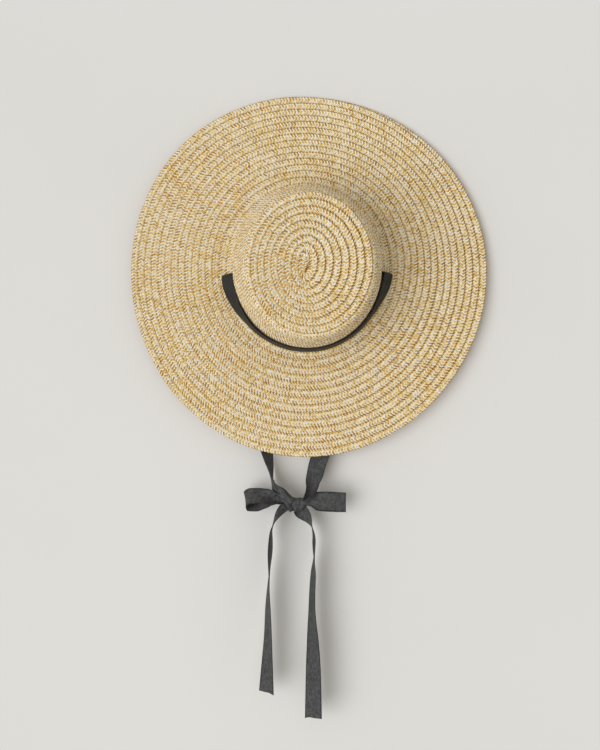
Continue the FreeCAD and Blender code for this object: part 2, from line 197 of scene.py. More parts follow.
def surface(q, angle):
    """Points of the hat. q counts rows of braid from the middle of the tip to the brim's edge."""
    q = np.clip(q, -1.0, ALL_ROWS + 1)
    angle = np.broadcast_to(angle, q.shape)
    tip_end = 1 - SHOULDER_ROUND / TIP_HALF[0]
    side_top = np.full(q.shape, CROWN_DEPTH * (1 - SHOULDER_ROUND / SIDE_LENGTH))
    side_foot = np.full(q.shape, CROWN_DEPTH * FOOT_ROUND / SIDE_LENGTH)
    brim_start = FOOT_ROUND / (BRIM_RADIUS - FOOT.mean())
    t = [(q - STARTS[i]) / (STARTS[i + 1] - STARTS[i]) for i in range(5)]
    one = np.ones(q.shape)
    tip = tip_surface(t[0] * tip_end, angle)
    shoulder = bend(
        tip_surface(one * tip_end, angle),
        side_surface(one * CROWN_DEPTH, angle),
        side_surface(side_top, angle),
        t[1],
    )
    side = side_surface(side_top + (side_foot - side_top) * t[2], angle)
    foot = bend(
        side_surface(side_foot, angle),
        side_surface(one * 0.0, angle),
        brim_surface(one * brim_start, angle),
        t[3],
    )
    brim = brim_surface(brim_start + (1 - brim_start) * t[4], angle)
    zone = np.searchsorted(STARTS[1:5], q)[..., None]
    return np.select([zone == 0, zone == 1, zone == 2, zone == 3], [tip, shoulder, side, foot], brim)


def surface_frame(q, angle):
    """Points, outward normals and mm per row at places of the hat."""
    point = surface(q, angle)
    out = (surface(q + ROW_STEP, angle) - surface(q - ROW_STEP, angle)) / (2 * ROW_STEP)
    around = surface(q, angle + ANGLE_STEP) - surface(q, angle - ANGLE_STEP)
    flat = (q < STARTS[1] / 2)[..., None]
    normal = np.where(flat, (0.0, -1.0, 0.0), unit(np.cross(out, around)))
    return point, normal, np.maximum(np.linalg.norm(out, axis=-1), LEAST_PITCH)


# ---------------------------------------------------------------- the braid

STRANDS = 7
BRAID_HALF = 5.3
PLAIT_LENGTH = 12.0  # one strand's way across the braid and back
GRAINS = 6  # a strand comes up and goes under three times on that way
STRAND_HALF = 0.88
STRAND_THICK = 0.60
LAYER = 0.27  # a strand lies this far above or below the braid's middle
SHINGLE = 0.22  # each row's outer edge stands up on the next row
SAMPLE = 0.80
TURN_BACK = 0.975  # how sharply a strand turns back at the braid's edge: 1 is a corner
SLIDE = 0.08  # unevenness by hand, in mm: along the surface, off the surface and of the whole braid
RISE = 0.06
WANDER = 0.35
ROLL = 0.10  # radians
UNEVEN = 0.08  # a share of a strand's width
THIN_START = 14.0  # the strands become thinner over these lengths of the braid's two ends
THIN_END = 18.0
START_SINK = 1.0  # the first stretch goes down under the coil round it by this much, over this length
START_REACH = 30.0
STRAW_TONE = 0.10  # a grain's tone: how far it follows its straw and how far it is its own,
GRAIN_TONE = 0.45
LEAST_TONE = 0.225
PALE_TONE = (0.16, 0.24)  # and how much every other straw is paler, at least and at random on top
PALE_COLUMN = 4  # the column of grains, from a row's edge, in which pale and dark straws differ less
PALE_COLUMN_SHARE = 0.35
JOIN_ANGLE = math.radians(100.0)
LAST_TURN = int(ALL_ROWS - BRAID_HALF / ROW)
FIRST_Q = ALL_ROWS - BRAID_HALF / ROW - LAST_TURN
FIRST_TURN = -0.35
FIRST_ROW = math.floor(FIRST_TURN)
LEAST_JOG = 0.25
END_TUCK = 0.15  # the braid's cut end goes in under the edge row by this many rows,
END_TUCK_SHARE = 0.04  # in this share of the last turn
TABLE_POINTS = 26000
ALMOST = 1e-6


def jog_share(turn):
    """The share of each turn in which the braid moves out to the next row: less towards the brim's edge."""
    return 1.0 - (1.0 - LEAST_JOG) * smooth(turn / LAST_TURN)


def row_change(turn):
    """How far the braid has moved out towards the next row, from 0 to 1 in each turn."""
    whole = np.floor(turn)
    share = jog_share(whole)
    return 0.5 - 0.5 * np.cos(math.pi * np.clip((turn - whole - (1 - share)) / share, 0, 1))


def end_overlap(turn):
    """How far the last stretch of the braid lies under the row before it, from 0 to 1."""
    return np.where(turn >= LAST_TURN, row_change(np.minimum(turn, LAST_TURN + 1 - ALMOST)), 0.0)


def braid_q(turn):
    """The row that the braid's middle follows after some turns. The last turn closes the brim's circle."""
    inner = FIRST_Q + np.floor(turn) + row_change(turn)
    tuck = END_TUCK * smooth((turn - LAST_TURN - 1 + END_TUCK_SHARE) / END_TUCK_SHARE)
    return np.where(turn >= LAST_TURN, FIRST_Q + LAST_TURN - tuck, inner)


def braid_table():
    """Turns and the length of braid used up to each."""
    turns = np.linspace(FIRST_TURN, LAST_TURN + 1 - ALMOST, TABLE_POINTS)
    return turns, lengths_along(surface(braid_q(turns), TURN * turns + JOIN_ANGLE))


def handmade(turn, seed):
    """A slow, small wander along the braid."""
    total = np.zeros(np.shape(turn))
    for index, pace in enumerate((1.7, 4.3, 11.9)):
        total += math.sin(seed + index) * np.sin(TURN * turn * pace + seed * (index + 2.3)) / (index + 1.5)
    return total


def add_mesh(name, points, quads, attributes=None, smooth_faces=True):
    """A mesh object from points in mm and quads, with point attributes."""
    mesh = bpy.data.meshes.new(name)
    mesh.vertices.add(len(points))
    mesh.vertices.foreach_set("co", (np.asarray(points) * MM).astype(np.float32).ravel())
    quads = np.asarray(quads, np.int32)
    mesh.loops.add(quads.size)
    mesh.loops.foreach_set("vertex_index", quads.ravel())
    mesh.polygons.add(len(quads))
    mesh.polygons.foreach_set("loop_start", np.arange(0, quads.size, 4, dtype=np.int32))
    mesh.polygons.foreach_set("loop_total", np.full(len(quads), 4, np.int32))
    mesh.polygons.foreach_set("use_smooth", np.full(len(quads), smooth_faces, bool))
    mesh.update(calc_edges=True)
    mesh.validate()
    for key, values in (attributes or {}).items():
        kind = "FLOAT_VECTOR" if values.ndim == 2 else "FLOAT"
        layer = mesh.attributes.new(key, kind, "POINT")
        layer.data.foreach_set("vector" if values.ndim == 2 else "value", values.astype(np.float32).ravel())
    obj = bpy.data.objects.new(name, mesh)
    bpy.context.scene.collection.objects.link(obj)
    return obj


def tube_quads(count, sides, first=0):
    """Quads of a tube of rings of points, open at both ends."""
    ring = np.arange(sides)
    start = first + np.arange(count - 1)[:, None] * sides
    a = start + ring
    b = start + (ring + 1) % sides
    return np.stack((a, b, b + sides, a + sides), -1).reshape(-1, 4)


def strand_shape(index, turns, lengths):
    """One strand's ring points, with where it is along the braid and its colour numbers."""
    along = np.arange(0.0, lengths[-1], SAMPLE)
    turn = np.interp(along, lengths, turns)
    phase = along / PLAIT_LENGTH + index / STRANDS
    wave = np.arcsin(TURN_BACK * np.sin(TURN * (phase - 0.25))) / math.asin(TURN_BACK)
    reach = BRAID_HALF - STRAND_HALF
    piece = np.floor(phase * GRAINS).astype(int)
    wobble = rng.normal(0, 1, piece.max() + 3)
    slide = rng.normal(0, 1, piece.max() + 3)
    shade = rng.random(piece.max() + 3)
    bow = np.sin(math.pi * ((phase * GRAINS) % 1.0))
    across = wave * reach + SLIDE * slide[piece] * bow + WANDER * handmade(turn, 3.0)
    over = np.sin(GRAINS / 2 * TURN * phase)
    lift = np.tanh(2.0 * over) * LAYER + RISE * wobble[piece] * bow
    q = braid_q(turn)
    angle = TURN * turn + JOIN_ANGLE
    pitch = surface_frame(q, angle)[2]
    ends = np.minimum(smooth(along / THIN_START), smooth((lengths[-1] - along) / THIN_END))
    point, normal = surface_frame(q + across / pitch, angle)[:2]
    sink = SHINGLE * ROW * end_overlap(turn) + START_SINK * (1 - smooth(along / START_REACH))
    height = lift + SHINGLE * across - SURFACE_INSET - sink
    centre = point + normal * height[:, None]
    tangent = unit(np.gradient(centre, axis=0))
    side = unit(np.cross(tangent, normal))
    upward = np.cross(side, tangent)
    half = STRAND_HALF * (1 + UNEVEN * wobble[piece]) * (0.25 + 0.75 * ends)
    thick = STRAND_THICK / 2 * (0.5 + 0.5 * ends)
    side, upward = turned(side, upward, ROLL * slide[piece])
    out, up = side * half[:, None], upward * thick[:, None]
    rings = np.stack((centre + out, centre + up, centre - out, centre - up), 1)
    straw = 0.5 + 0.5 * np.sin(rng.random() * 40 + along / 37.0 + 2.1 * np.sin(along / 61.0 + index))
    pale = 1 - 2 * ((np.floor(phase).astype(int) + index) % 2)
    pale = np.where(piece % GRAINS == PALE_COLUMN, PALE_COLUMN_SHARE * pale, pale)
    pale = pale * (PALE_TONE[0] + PALE_TONE[1] * shade[piece - 1])
    tone = STRAW_TONE * straw + GRAIN_TONE * shade[piece] + LEAST_TONE + pale
    # Painted shade: darker where a row goes in under its inner neighbour and where strands turn at the
    # braid's edges.
    edge = smooth(-1.0 - across / 1.2) + 0.4 * np.abs(wave) ** 8
    # Painted shade on a strand's crest where it goes under its neighbours.
    under_shade = np.clip(0.6 - 0.9 * over, 0, 1)
    return turn, rings, tone, along, edge, under_shade


def row_name(turn):
    """The name and the material slot of a turn of the braid."""
    q = FIRST_Q + turn + 0.5
    if turn >= LAST_TURN:
        return "brim_edge_row", "straw_edge"
    if q < STARTS[2] - 0.5:
        return "tip_row_%02d" % (turn - FIRST_ROW + 1), "straw"
    first_side = int(math.ceil(STARTS[2] - 1.0 - FIRST_Q))
    first_brim = int(math.ceil(STARTS[4] - 1.0 - FIRST_Q))
    if turn < first_brim:
        return "side_row_%02d" % (turn - first_side + 1), "straw"
    return "brim_row_%02d" % (turn - first_brim + 1), "straw"


def add_braid(materials):
    """The whole braid, one piece for each turn. Returns the pieces by name."""
    turns, lengths = braid_table()
    strands = [strand_shape(index, turns, lengths) for index in range(STRANDS)]
    rows = {}
    for whole in range(FIRST_ROW, LAST_TURN + 1):
        points, quads, tones, strokes, rim_shades, row_edge_shades = [], [], [], [], [], []
        count = 0
        for index, (turn, rings, tone, along, edge, under_shade) in enumerate(strands):
            chosen = np.nonzero((turn >= whole) & (turn < whole + 1))[0]
            if len(chosen) == 0:
                continue
            last = min(chosen[-1] + 1, len(turn) - 1)
            part = slice(chosen[0], last + 1)
            ring = rings[part]
            points.append(ring.reshape(-1, 3))
            quads.append(tube_quads(len(ring), 4, count))
            tones.append(np.repeat(tone[part], 4))
            stroke = np.stack((along[part], np.full(len(ring), index * 7.3), tone[part] * 91.0), -1)
            strokes.append(np.repeat(stroke, 4, axis=0))
            # Painted shade: full on a strand's sides, and on its crest where it goes under.
            crest_shade, side = under_shade[part], np.ones(len(ring))
            rim_shades.append(np.stack((side, crest_shade, side, crest_shade), -1).ravel())
            row_edge_shades.append(np.repeat(edge[part], 4))
            count += len(ring) * 4
        name, slot = row_name(whole)
        piece = add_mesh(
            name,
            np.concatenate(points),
            np.concatenate(quads),
            {
                "tone": np.concatenate(tones),
                "stroke": np.concatenate(strokes),
                "rim_shade": np.concatenate(rim_shades),
                "edge": np.concatenate(row_edge_shades),
            },
        )
        piece.data.materials.append(materials[slot])
        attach(piece, "hat")
        rows[name] = piece
    return rows


# ---------------------------------------------------------------- materials


def new_material(name):
    """A node material with its Principled shader."""
    material = bpy.data.materials.new(name)
    material.use_nodes = True
    return material, material.node_tree, material.node_tree.nodes["Principled BSDF"]


def add_node(tree, kind, inputs=None, **settings):
    """A shader node with settings and input values, or links where an input is a socket."""
    node = tree.nodes.new(kind)
    for key, value in settings.items():
        setattr(node, key, value)
    for key, value in (inputs or {}).items():
        if isinstance(value, bpy.types.NodeSocket):
            tree.links.new(value, node.inputs[key])
        else:
            node.inputs[key].default_value = value
    return node


def ramp(tree, factor, stops):
    """A colour ramp."""
    node = add_node(tree, "ShaderNodeValToRGB", {"Fac": factor})
    while len(node.color_ramp.elements) < len(stops):
        node.color_ramp.elements.new(0.5)
    for element, (place, colour) in zip(node.color_ramp.elements, stops):
        element.position = place
        element.color = (*colour, 1)
    return node.outputs["Color"]


def weighted_sum(tree, terms):
    """The sum of values times weights."""
    total = None
    for value, weight in terms:
        inputs = {0: value, 1: weight}
        if total is None:
            node = add_node(tree, "ShaderNodeMath", inputs, operation="MULTIPLY")
        else:
            inputs[2] = total
            node = add_node(tree, "ShaderNodeMath", inputs, operation="MULTIPLY_ADD")
        total = node.outputs["Value"]
    return total


def straw_material(name, warmth):
    """Wheat straw: each stroke of the plait has its own tone, with fine streaks, and painted shade on its
    sides, under-crossings and row seams.
    """
    material, tree, shader = new_material(name)
    tone = add_node(tree, "ShaderNodeAttribute", attribute_name="tone").outputs["Fac"]
    rim_shade = add_node(tree, "ShaderNodeAttribute", attribute_name="rim_shade").outputs["Fac"]
    rim_shade = add_node(tree, "ShaderNodeMath", {0: rim_shade, 1: 1.3}, operation="POWER").outputs["Value"]
    edge = add_node(tree, "ShaderNodeAttribute", attribute_name="edge").outputs["Fac"]
    stroke = add_node(tree, "ShaderNodeAttribute", attribute_name="stroke").outputs["Vector"]
    place = add_node(tree, "ShaderNodeTexCoord").outputs["Object"]
    noise = {"Scale": 620.0, "Detail": 3.0, "Roughness": 0.65, "Vector": place}
    fleck = add_node(tree, "ShaderNodeTexNoise", noise).outputs["Fac"]
    squeeze = add_node(tree, "ShaderNodeVectorMath", {0: stroke, 1: (0.45, 1.0, 1.0)}, operation="MULTIPLY")
    noise = {"Scale": 2.4, "Detail": 3.0, "Roughness": 0.6, "Vector": squeeze.outputs["Vector"]}
    streak = add_node(tree, "ShaderNodeTexNoise", noise).outputs["Fac"]
    noise = {"Scale": 17.0, "Detail": 2.0, "Vector": place}
    patch = add_node(tree, "ShaderNodeTexNoise", noise).outputs["Fac"]
    # The rim and edge terms subtract painted shade: a strand's sides and under-crossings, and the row seams.
    mixed = weighted_sum(
        tree,
        ((tone, 0.90), (fleck, 0.60), (streak, 0.15), (patch, 0.06), (rim_shade, -0.62), (edge, -0.26)),
    )
    spread = add_node(tree, "ShaderNodeMapRange", {"Value": mixed, "From Min": 0.13, "From Max": 0.80})
    colour = ramp(
        tree,
        spread.outputs["Result"],
        (
            (0.00, (0.35, 0.15, 0.015)),
            (0.22, (0.70, 0.37, 0.050)),
            (0.40, (0.86, 0.56, 0.12 * (2 - warmth))),
            (0.58, (0.95, 0.73, 0.25 * (2 - warmth))),
            (0.76, (1.00, 0.905, 0.56)),
            (1.00, (1.00, 1.00, 0.95)),
        ),
    )
    tree.links.new(colour, shader.inputs["Base Color"])
    rough = add_node(tree, "ShaderNodeMapRange", {"Value": fleck, "To Min": 0.32, "To Max": 0.60})
    tree.links.new(rough.outputs["Result"], shader.inputs["Roughness"])
    shader.inputs["Specular IOR Level"].default_value = 0.5
    bump = add_node(tree, "ShaderNodeBump", {"Height": fleck, "Strength": 0.35, "Distance": 0.0002})
    tree.links.new(bump.outputs["Normal"], shader.inputs["Normal"])
    return material


def ribbon_material(name, colour, light, sheen):
    """Grosgrain: a fine warp along the ribbon, uneven yarn, dark selvages, painted shade in creases, and a
    soft sheen.
    """
    material, tree, shader = new_material(name)
    cloth = add_node(tree, "ShaderNodeAttribute", attribute_name="cloth").outputs["Vector"]
    place = add_node(tree, "ShaderNodeTexCoord").outputs["Object"]
    axes = add_node(tree, "ShaderNodeSeparateXYZ", {"Vector": cloth})
    warp = add_node(tree, "ShaderNodeMath", {0: axes.outputs["Y"], 1: 9.0}, operation="MULTIPLY")
    warp = add_node(tree, "ShaderNodeMath", {0: warp.outputs["Value"]}, operation="SINE")
    fibre = add_node(tree, "ShaderNodeTexNoise", {"Vector": place, "Scale": 1500.0, "Detail": 2.0})
    cloud = add_node(tree, "ShaderNodeTexNoise", {"Vector": place, "Scale": 45.0, "Detail": 3.0})
    slub = add_node(tree, "ShaderNodeTexNoise", {"Vector": place, "Scale": 330.0, "Detail": 1.0})
    terms = (
        (fibre.outputs["Fac"], 0.7),
        (cloud.outputs["Fac"], 0.6),
        (slub.outputs["Fac"], 1.2),
        (warp.outputs["Value"], 0.10),
    )
    mixed = weighted_sum(tree, terms)
    spread = add_node(tree, "ShaderNodeMapRange", {"Value": mixed, "From Min": 1.00, "From Max": 1.52})
    tint = ramp(tree, spread.outputs["Result"], ((0.0, colour), (1.0, light)))
    beside = add_node(tree, "ShaderNodeMath", {0: axes.outputs["Y"]}, operation="ABSOLUTE").outputs["Value"]
    limits = {"Value": beside, "From Min": RIBBON_HALF - SELVAGE, "From Max": RIBBON_HALF - 0.4 * SELVAGE}
    selvage = add_node(tree, "ShaderNodeMapRange", {**limits, "To Min": 1.0, "To Max": 0.45})
    # Painted shade: the knot's creases darken the cloth.
    crease_shade = add_node(tree, "ShaderNodeAttribute", attribute_name="crease_shade").outputs["Fac"]
    depth = add_node(tree, "ShaderNodeMapRange", {"Value": crease_shade, "To Min": 1.0, "To Max": 0.35})
    both = {0: selvage.outputs["Result"], 1: depth.outputs["Result"]}
    shade = add_node(tree, "ShaderNodeMath", both, operation="MULTIPLY").outputs["Value"]
    tint = add_node(tree, "ShaderNodeVectorMath", {0: tint, 1: shade}, operation="MULTIPLY")
    tree.links.new(tint.outputs["Vector"], shader.inputs["Base Color"])
    limits = {"Value": fibre.outputs["Fac"], "To Min": 0.55, "To Max": 0.85}
    rough = add_node(tree, "ShaderNodeMapRange", limits)
    tree.links.new(rough.outputs["Result"], shader.inputs["Roughness"])
    shader.inputs["Specular IOR Level"].default_value = 0.35
    shader.inputs["Sheen Weight"].default_value = sheen
    shader.inputs["Sheen Roughness"].default_value = 0.45
    bump = add_node(tree, "ShaderNodeBump", {"Height": mixed, "Strength": 0.4, "Distance": 0.0001})
    tree.links.new(bump.outputs["Normal"], shader.inputs["Normal"])
    return material


# ---------------------------------------------------------------- ribbon

RIBBON_HALF = 11.0
RIBBON_THICK = 0.5
SELVAGE = 1.5
RIB_PITCH = 0.9
RIB_HEIGHT = 0.07
COLUMNS = 11
CUT_REACH = 26.0  # a slanting cut pulls the ribs askew over this length
SELVAGE_LIFT = 0.10
LEAST_CUP = 1e-3
LOOP_POINTS = 400


def eased(places, values, at):
    """Values at places between given ones, without overshoot."""
    places = np.asarray(places, float)
    values = np.asarray(values, float)
    slope = np.diff(values) / np.diff(places)
    product, total = slope[1:] * slope[:-1], slope[1:] + slope[:-1]
    middle = np.where(product > 0, 2 * product / (total + 1e-12), 0.0)
    tangent = np.concatenate(((slope[0],), middle, (slope[-1],)))
    index = np.clip(np.searchsorted(places, at) - 1, 0, len(places) - 2)
    width = places[index + 1] - places[index]
    t = np.clip((at - places[index]) / width, 0, 1)
    return (
        (2 * t**3 - 3 * t**2 + 1) * values[index]
        + (t**3 - 2 * t**2 + t) * width * tangent[index]
        + (3 * t**2 - 2 * t**3) * values[index + 1]
        + (t**3 - t**2) * width * tangent[index + 1]
    )


def by_axis(between, places, points, at):
    """Points at places between given ones, found by a function of one coordinate."""
    return np.stack([between(places, points[:, axis], at) for axis in range(3)], -1)


def straight(places, values, at):
    """Values at places between given ones, in straight steps."""
    return np.interp(at, places, values)


def resampled(points):
    """A line's points, four to each rib of the ribbon, and how far along the line each is."""
    length = lengths_along(points)
    along = np.linspace(0, length[-1], int(round(length[-1] / (RIB_PITCH / 4))) + 1)
    return by_axis(straight, length, points, along), along


def cloth_places(along, across):
    """Each point's place in the cloth, in mm: along it and across it."""
    grid = np.meshgrid(along, across, indexing="ij")
    return np.stack((grid[0].ravel(), grid[1].ravel(), np.zeros(grid[0].size)), -1)


def ribbon_mesh(name, line, along, side, face, cup, cuts=(None, None)):
    """A woven ribbon along a line. side is its width's direction and face its front, at each point.
    cup curls it across its width without making it narrower along its own surface.
    cuts say how much shorter each end is, in mm, at even places across the width."""
    cup = np.broadcast_to(np.maximum(cup, LEAST_CUP), along.shape)
    across = np.linspace(-1, 1, COLUMNS)
    turn = cup[:, None] * across
    run = RIBBON_HALF * np.sin(turn) / cup[:, None]
    rise = RIBBON_HALF * (1 - np.cos(turn)) / cup[:, None]
    rise = rise - rise.mean(axis=1, keepdims=True)
    middle = line[:, None] + side[:, None] * run[..., None] + face[:, None] * rise[..., None]
    outward = face[:, None] * np.cos(turn)[..., None] - side[:, None] * np.sin(turn)[..., None]
    rib = RIB_HEIGHT * np.sin(TURN * along / RIB_PITCH)
    edge = np.abs(across) > 0.93
    lift = RIBBON_THICK / 2 + rib[:, None] * (1 - 0.6 * edge) + SELVAGE_LIFT * edge
    front = middle + outward * lift[..., None]
    back = middle - outward * lift[..., None]
    ring = np.concatenate((front, back[:, ::-1]), axis=1)
    count, sides = ring.shape[:2]
    both = np.concatenate((across, across[::-1]))
    near_start = 1 - smooth(along / CUT_REACH)
    near_end = smooth((along - along[-1] + CUT_REACH) / CUT_REACH)
    for column in range(sides):
        moved = along.copy()
        for cut, near, sign in ((cuts[0], near_start, 1), (cuts[1], near_end, -1)):
            if cut:
                moved += sign * near * np.interp(both[column], np.linspace(-1, 1, len(cut)), cut)
        ring[:, column] = by_axis(straight, along, ring[:, column], moved)
    quads = [tube_quads(count, sides)]
    for start in (0, (count - 1) * sides):
        left = start + np.arange(COLUMNS - 1)
        right = start + sides - 1 - np.arange(COLUMNS - 1)
        cap = np.stack((left, right, right - 1, left + 1), -1)
        quads.append(cap if start == 0 else cap[:, ::-1])
    cloth = cloth_places(along, both * RIBBON_HALF)
    return add_mesh(name, ring.reshape(-1, 3), np.concatenate(quads), {"cloth": cloth})


def nurbs_line(name, route):
    """Points of the smooth line that a route controls, in mm. The route is in metres."""
    curve = bpy.data.curves.new(name, "CURVE")
    curve.dimensions = "3D"
    curve.resolution_u = 40
    spline = curve.splines.new("NURBS")
    spline.points.add(len(route) - 1)
    for point, place in zip(spline.points, route):
        point.co = (*place, 1.0)
    spline.order_u = 3
    spline.use_endpoint_u = True
    holder = bpy.data.objects.new(name, curve)
    bpy.context.scene.collection.objects.link(holder)
    bpy.context.view_layer.update()
    mesh = bpy.data.meshes.new_from_object(holder)
    points = np.array([tuple(vertex.co) for vertex in mesh.vertices]) / MM
    bpy.data.objects.remove(holder)
    bpy.data.curves.remove(curve)
    bpy.data.meshes.remove(mesh)
    return points


def hanging_frames(line, twist):
    """Side and face directions of a ribbon that hangs. At twist 0 its face is towards the viewer."""
    tangent = unit(np.gradient(line, axis=0))
    viewer = np.broadcast_to(np.array((0.0, -1.0, 0.0)), line.shape)
    side = unit(np.cross(viewer, tangent))
    face = np.cross(tangent, side)
    return turned(side, face, np.radians(twist))


def free_ribbon(name, route, stations, end_cut=None):
    """A free ribbon on a route. stations are (height in mm, twist in degrees, cup), from the top down."""
    line, along = resampled(nurbs_line(name + "_line", route))
    heights, twists, cups = zip(*stations)
    falls = -np.array(heights, float)
    side, face = hanging_frames(line, eased(falls, twists, -line[:, 2]))
    ribbon = ribbon_mesh(name, line, along, side, face, eased(falls, cups, -line[:, 2]), (None, end_cut))
    return ribbon, line, along[-1]


# Routes of the free ribbon in metres: right, back, up.
TIE_LEFT_ROUTE = (
    (-0.0875, 0.0052, -0.0130),
    (-0.0440, 0.0260, -0.2100),
    (-0.0402, 0.0210, -0.2380),
    (-0.0365, 0.0110, -0.2530),
    (-0.0160, 0.0095, -0.2635),
)
TIE_RIGHT_ROUTE = (
    (0.0915, 0.0052, -0.0080),
    (0.0147, 0.0220, -0.2120),
    (0.0095, 0.0190, -0.2380),
    (0.0066, 0.0100, -0.2530),
    (-0.0020, 0.0080, -0.2645),
)
TAIL_LEFT_ROUTE = (
    (-0.0220, 0.0150, -0.2700),
    (-0.0395, 0.0162, -0.2840),
    (-0.0405, 0.0164, -0.3200),
    (-0.0434, 0.0162, -0.3720),
    (-0.0429, 0.0163, -0.4250),
    (-0.0453, 0.0162, -0.4816),
)
TAIL_RIGHT_ROUTE = (
    (-0.0080, 0.0150, -0.2700),
    (0.0080, 0.0162, -0.2890),
    (0.0098, 0.0164, -0.3200),
    (0.0062, 0.0162, -0.3800),
    (0.0086, 0.0163, -0.4400),
    (0.0080, 0.0162, -0.5109),
)

# Each free ribbon: its name, node and route, its stations from the top down (height in mm, twist in degrees,
# cup), and its end's cut.
FREE_PLANS = (
    (
        "ribbon_tie_left",
        "tie_left",
        TIE_LEFT_ROUTE,
        (
            (-13, -10, 0.2),
            (-160, -22, 0.2),
            (-207, -55, 0.2),
            (-239, -90, 0.2),
            (-249, -112, 0.35),
            (-255, -128, 1.1),
            (-259, -135, 2.0),
            (-264, -140, 2.7),
        ),
        None,
    ),
    (
        "ribbon_tie_right",
        "tie_right",
        TIE_RIGHT_ROUTE,
        ((-8, 10, 0.2), (-158, 24, 0.2), (-208, 28, 0.25), (-232, 28, 0.5), (-247, 24, 1.5), (-264, 14, 2.6)),
        None,
    ),
    (
        "ribbon_tail_left",
        "tail_left",
        TAIL_LEFT_ROUTE,
        (
            (-270, 62, 1.5),
            (-277, 72, 0.7),
            (-290, 90, 0.15),
            (-319, 102, 0.15),
            (-347, 90, 0.15),
            (-389, 73, 0.15),
            (-418, 66, 0.15),
            (-445, 56, 0.2),
            (-482, 40, 0.15),
        ),
        (1.5, 1.0, 1.2, 0.0),
    ),
    (
        "ribbon_tail_right",
        "tail_right",
        TAIL_RIGHT_ROUTE,
        (
            (-270, 10, 1.5),
            (-276, 34, 0.9),
            (-282, 56, 0.4),
            (-289, 79, 0.2),
            (-295, 90, 0.15),
            (-310, 99, 0.15),
            (-328, 90, 0.15),
            (-346, 77, 0.15),
            (-386, 71, 0.2),
            (-421, 55, 0.2),
            (-454, 42, 0.2),
            (-511, 31, 0.1),
        ),
        (0.0, 1.6, 1.3, 1.6, 1.9),
    ),
)


def add_free_ribbons(material):
    """The two ties and the two tails."""
    made = {}
    for name, node, route, stations, end_cut in FREE_PLANS:
        ribbon, line, length = free_ribbon(name, route, stations, end_cut)
        ribbon.data.materials.append(material)
        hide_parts(node)
        made[name] = (ribbon, line, length)
    return made


def strip_from_stations(name, stations):
    """A ribbon through stations: (centre, width direction, cup), each eased to the next."""
    centres, sides, cups = (np.array(column, float) for column in zip(*stations))
    steps = lengths_along(centres)
    line, along = resampled(by_axis(eased, steps, centres, np.linspace(0, steps[-1], LOOP_POINTS)))
    share = along / along[-1]
    marks = steps / steps[-1]
    tangent = unit(np.gradient(line, axis=0))
    side = square_to(unit(by_axis(eased, marks, sides, share)), tangent)
    return ribbon_mesh(name, line, along, side, np.cross(side, tangent), eased(marks, cups, share))


UP = (0.0, 0.0, 1.0)
# Each loop: places of its middle line in mm, its width's direction there and its cup.
LOOP_LEFT = (
    ((-24.0, 11.4, -262.6), (0.0, 0.06, 1.0), 2.3),
    ((-28.5, 11.0, -261.5), (0.0, 0.12, 1.0), 2.1),
    ((-35.0, 9.8, -260.0), (0.0, 0.25, 0.97), 1.75),
    ((-42.0, 8.6, -259.0), (0.0, 0.50, 0.87), 1.15),
    ((-49.0, 7.8, -257.6), (0.0, 0.68, 0.73), 0.55),
    ((-56.5, 7.8, -256.9), (-0.06, 0.70, 0.71), 0.25),
    ((-63.6, 9.2, -257.2), (-0.10, 0.71, 0.70), 0.15),
    ((-69.2, 12.9, -261.4), (-0.13, 0.69, 0.71), 0.10),
    ((-66.0, 16.6, -266.0), (-0.10, 0.72, 0.69), 0.15),
    ((-57.0, 16.8, -266.6), (0.0, 0.76, 0.65), 0.25),
    ((-49.0, 15.8, -263.2), (0.0, 0.70, 0.71), 0.90),
    ((-42.0, 14.8, -260.4), (0.0, 0.50, 0.87), 1.50),
    ((-35.0, 14.0, -260.6), (0.0, 0.25, 0.97), 1.90),
    ((-28.5, 13.4, -262.1), (0.0, 0.12, 1.0), 2.2),
    ((-24.0, 13.2, -263.2), (0.0, 0.06, 1.0), 2.3),
)
LOOP_RIGHT = (
    ((-6.0, 12.0, -264.0), UP, 2.5),
    ((0.0, 11.0, -263.6), UP, 2.35),
    ((3.4, 10.3, -263.2), UP, 2.1),
    ((6.4, 9.8, -262.9), UP, 1.6),
    ((9.6, 9.3, -262.8), UP, 1.0),
    ((15.5, 8.8, -262.8), UP, 0.42),
    ((25.0, 8.4, -263.0), UP, 0.22),
    ((37.0, 9.4, -263.8), (0.02, 0.0, 1.0), 0.1),
    ((43.0, 10.6, -264.2), (0.02, 0.0, 1.0), 0.03),
    ((44.3, 11.5, -264.3), (0.02, 0.0, 1.0), 0.03),
    ((43.0, 12.4, -264.4), (0.02, 0.0, 1.0), 0.03),
    ((37.0, 13.2, -264.5), (0.02, 0.0, 1.0), 0.1),
    ((25.0, 13.8, -264.2), UP, 0.25),
    ((15.5, 13.5, -263.6), UP, 0.50),
    ((9.6, 13.2, -263.2), UP, 1.1),
    ((6.4, 13.0, -263.2), UP, 1.7),
    ((3.4, 12.9, -263.4), UP, 2.15),
    ((0.0, 12.8, -263.8), UP, 2.4),
    ((-6.0, 12.6, -264.2), UP, 2.5),
)


def add_bow(material):
    """The knot and the two loops."""
    knot_low, knot_high = node_box("bow_knot")
    centre = (knot_low + knot_high) / 2
    left = strip_from_stations("ribbon_loop_left", LOOP_LEFT)
    right = strip_from_stations("ribbon_loop_right", LOOP_RIGHT)
    knot = knot_mesh(centre, (knot_high - knot_low) / 2)
    for piece, node in ((left, "bow_loop_left"), (right, "bow_loop_right"), (knot, "bow_knot")):
        piece.data.materials.append(material)
        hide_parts(node)
    return left, right, knot


KNOT_ROUNDS = 144
KNOT_COLUMNS = 81
KNOT_BOXY = 0.74  # 1 would make the knot round from the side
CREASE_DEPTH = 0.13  # the knot's folds lower than this get painted shade
